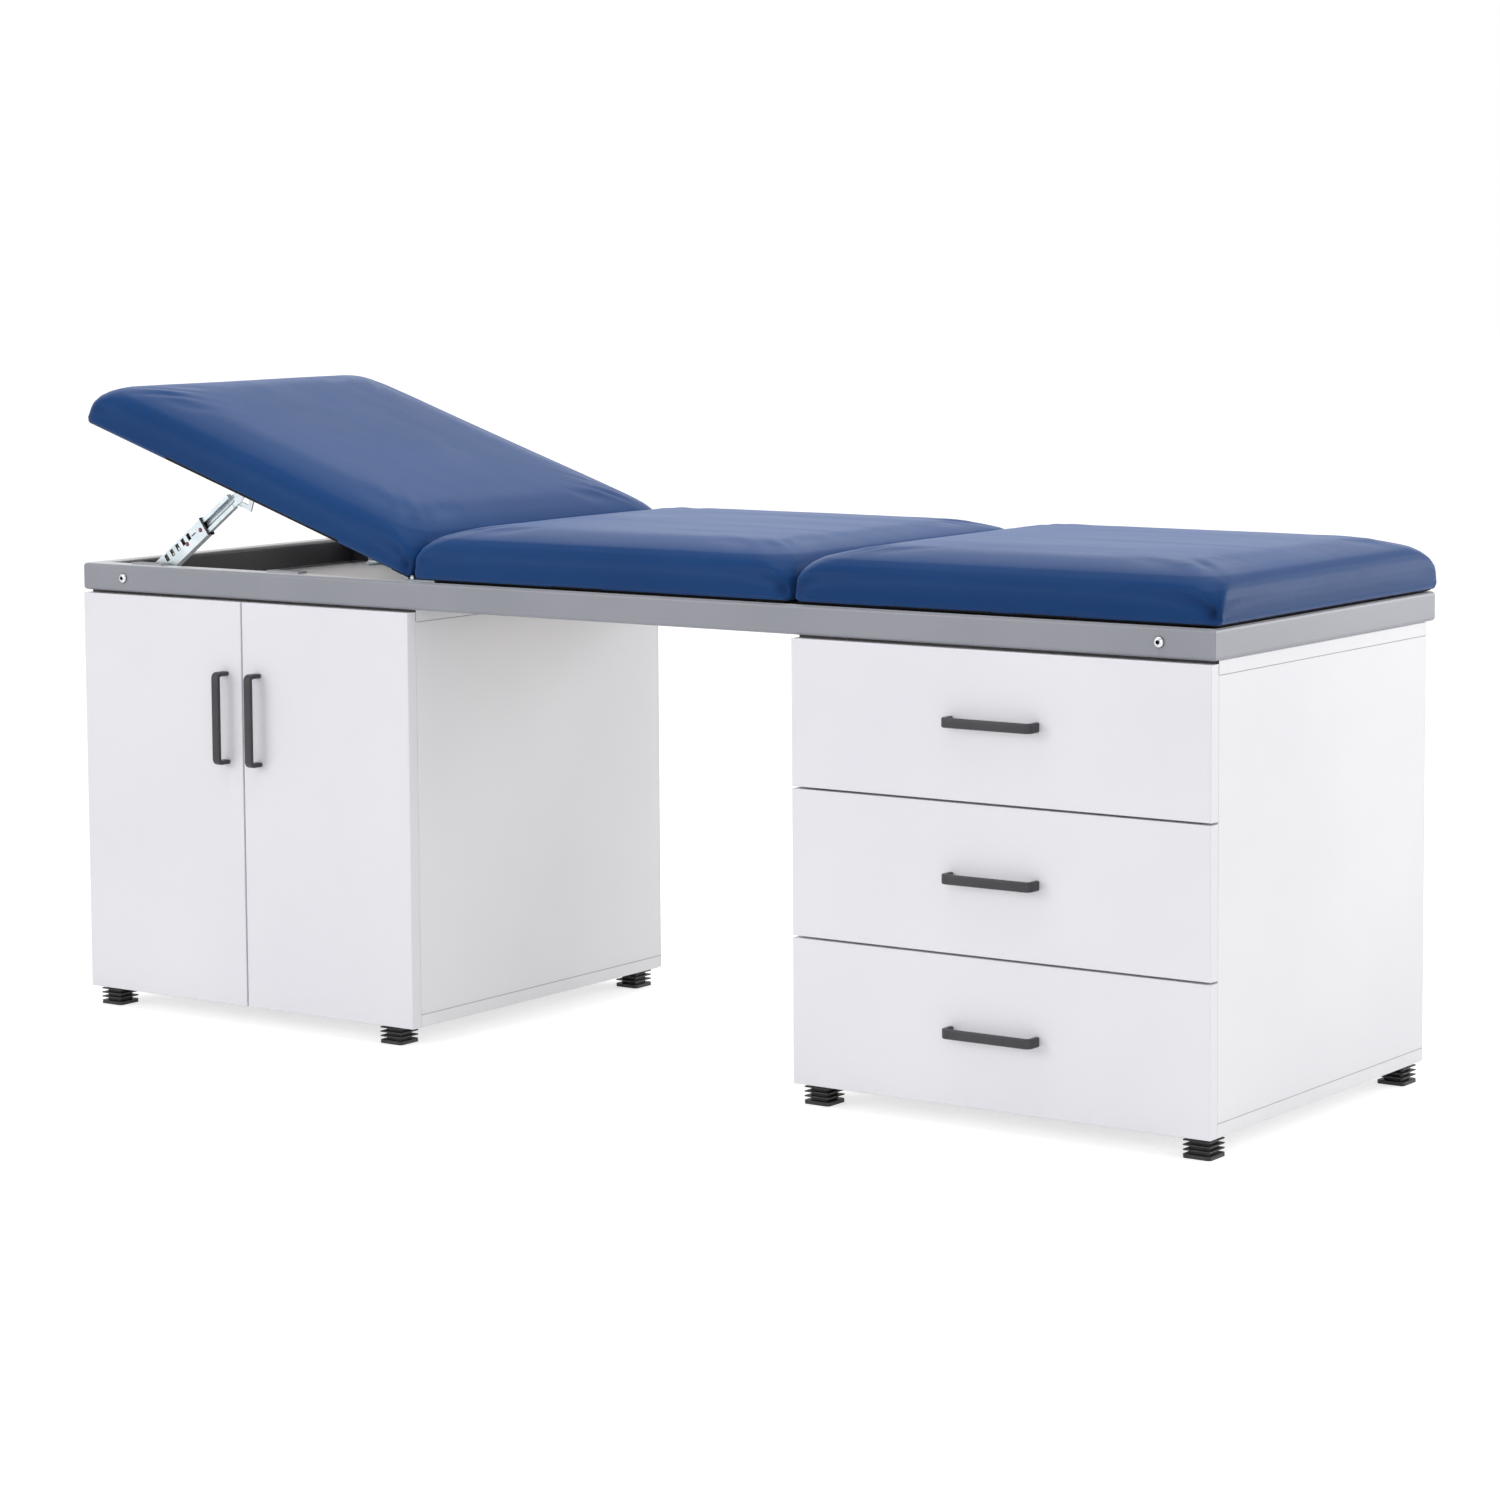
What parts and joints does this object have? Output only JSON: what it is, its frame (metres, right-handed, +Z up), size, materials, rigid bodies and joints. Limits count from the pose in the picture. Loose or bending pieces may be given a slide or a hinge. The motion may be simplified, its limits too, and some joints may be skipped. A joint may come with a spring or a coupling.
{
  "type": "spa bed with cabinet base",
  "caption": "Treatment bed on two white cabinets with doors and drawers, a grey tube frame, blue cushions and a head section that lifts on ratchet struts.",
  "frame": {"origin": "on the floor, under the middle of the bed's overall length and depth with the head section raised as pictured", "axes": "+X along the bed from the head end to the foot end, -Y towards the front with the doors and drawers, +Z up"},
  "size_m": [1.905, 0.634, 0.9155],
  "materials": {
    "frame_paint": "satin silver-grey powder coat",
    "zinc_fitting": "bright zinc plate",
    "hinge_steel": "nickel plate",
    "runner_paint": "white epoxy coat",
    "white_board": "white melamine-faced particle board",
    "white_front": "smooth white board front, satin",
    "thin_panel": "thin white-faced hardboard",
    "black_handle": "satin black",
    "black_glide": "black moulded plastic",
    "blue_cover": "smooth blue synthetic leather over foam",
    "plywood": "plain plywood",
    "black_rubber": "matt black"
  },
  "bodies": {
    "bed": {"front_rail": "frame_paint", "back_rail": "frame_paint", "head_rail": "frame_paint", "foot_rail": "frame_paint", "cross_rails": "frame_paint", "frame_brackets": "zinc_fitting", "frame_bolts": "zinc_fitting", "cushion_pads": "black_rubber", "left_top_board": "white_board", "left_bottom_board": "white_board", "left_outer_side": "white_board", "left_inner_side": "white_board", "left_back_panel": "thin_panel", "left_shelf": "white_board", "shelf_pins": "hinge_steel", "door_hinge_arms": "hinge_steel", "left_cabinet_feet": "black_glide", "right_top_board": "white_board", "right_bottom_board": "white_board", "right_inner_side": "white_board", "right_outer_side": "white_board", "right_back_panel": "thin_panel", "cabinet_runners": "runner_paint", "right_cabinet_feet": "black_glide", "middle_cushion": "blue_cover", "middle_board": "plywood", "foot_cushion": "blue_cover", "foot_board": "plywood", "head_hinge_fixed_leaves": "zinc_fitting", "head_hinge_pins": "zinc_fitting", "strut_foot_pins": "zinc_fitting"},
    "head_section": {"head_cushion": "blue_cover", "head_board": "plywood", "head_hinge_moving_leaves": "zinc_fitting", "strut_brackets": "zinc_fitting"},
    "front_strut_lower": {"front_strut_channel": "zinc_fitting"},
    "front_strut_upper": {"front_strut_slide": "zinc_fitting"},
    "back_strut_lower": {"back_strut_channel": "zinc_fitting"},
    "back_strut_upper": {"back_strut_slide": "zinc_fitting"},
    "left_door": {"left_door": "white_front", "left_door_handle": "black_handle", "left_door_hinge_cups": "hinge_steel"},
    "right_door": {"right_door": "white_front", "right_door_handle": "black_handle", "right_door_hinge_cups": "hinge_steel"},
    "bottom_drawer": {"bottom_drawer_front": "white_front", "bottom_drawer_box": "white_board", "bottom_drawer_base": "thin_panel", "bottom_drawer_handle": "black_handle", "bottom_drawer_runners": "runner_paint"},
    "middle_drawer": {"middle_drawer_front": "white_front", "middle_drawer_box": "white_board", "middle_drawer_base": "thin_panel", "middle_drawer_handle": "black_handle", "middle_drawer_runners": "runner_paint"},
    "top_drawer": {"top_drawer_front": "white_front", "top_drawer_box": "white_board", "top_drawer_base": "thin_panel", "top_drawer_handle": "black_handle", "top_drawer_runners": "runner_paint"}
  },
  "joints": [
    {"name": "head_tilt", "type": "hinge", "parent": "bed", "child": "head_section", "pos_m": [-0.3245, 0.0135, 0.667], "axis": [0, 1, 0], "range_deg": [-18.3, 0]},
    {"name": "front_strut_pivot", "type": "hinge", "parent": "bed", "child": "front_strut_lower", "pos_m": [-0.8475, -0.2465, 0.642], "axis": [0, -1, 0], "range_deg": [-34, 0]},
    {"name": "front_strut_slide", "type": "slide", "parent": "front_strut_lower", "child": "front_strut_upper", "axis": [0.7992, 0, 0.601], "range_m": [-0.05515, 0]},
    {"name": "back_strut_pivot", "type": "hinge", "parent": "bed", "child": "back_strut_lower", "pos_m": [-0.8475, 0.2735, 0.642], "axis": [0, -1, 0], "range_deg": [-34, 0]},
    {"name": "back_strut_slide", "type": "slide", "parent": "back_strut_lower", "child": "back_strut_upper", "axis": [0.7992, 0, 0.601], "range_m": [-0.05515, 0]},
    {"name": "left_door_swing", "type": "hinge", "parent": "bed", "child": "left_door", "pos_m": [-0.9495, -0.2915, 0.324], "axis": [0, 0, -1], "range_deg": [0, 110]},
    {"name": "right_door_swing", "type": "hinge", "parent": "bed", "child": "right_door", "pos_m": [-0.3275, -0.2915, 0.324], "axis": [0, 0, 1], "range_deg": [0, 110]},
    {"name": "bottom_drawer_pull", "type": "slide", "parent": "bed", "child": "bottom_drawer", "axis": [0, -1, 0], "range_m": [0, 0.38]},
    {"name": "middle_drawer_pull", "type": "slide", "parent": "bed", "child": "middle_drawer", "axis": [0, -1, 0], "range_m": [0, 0.38]},
    {"name": "top_drawer_pull", "type": "slide", "parent": "bed", "child": "top_drawer", "axis": [0, -1, 0], "range_m": [0, 0.38]}
  ],
  "couplings": [
    {"joint": "front_strut_pivot", "follows": "head_tilt", "ratio": 1.8552},
    {"joint": "front_strut_slide", "follows": "head_tilt", "m_per_rad": 0.17203},
    {"joint": "back_strut_pivot", "follows": "head_tilt", "ratio": 1.8552},
    {"joint": "back_strut_slide", "follows": "head_tilt", "m_per_rad": 0.17203}
  ]
}
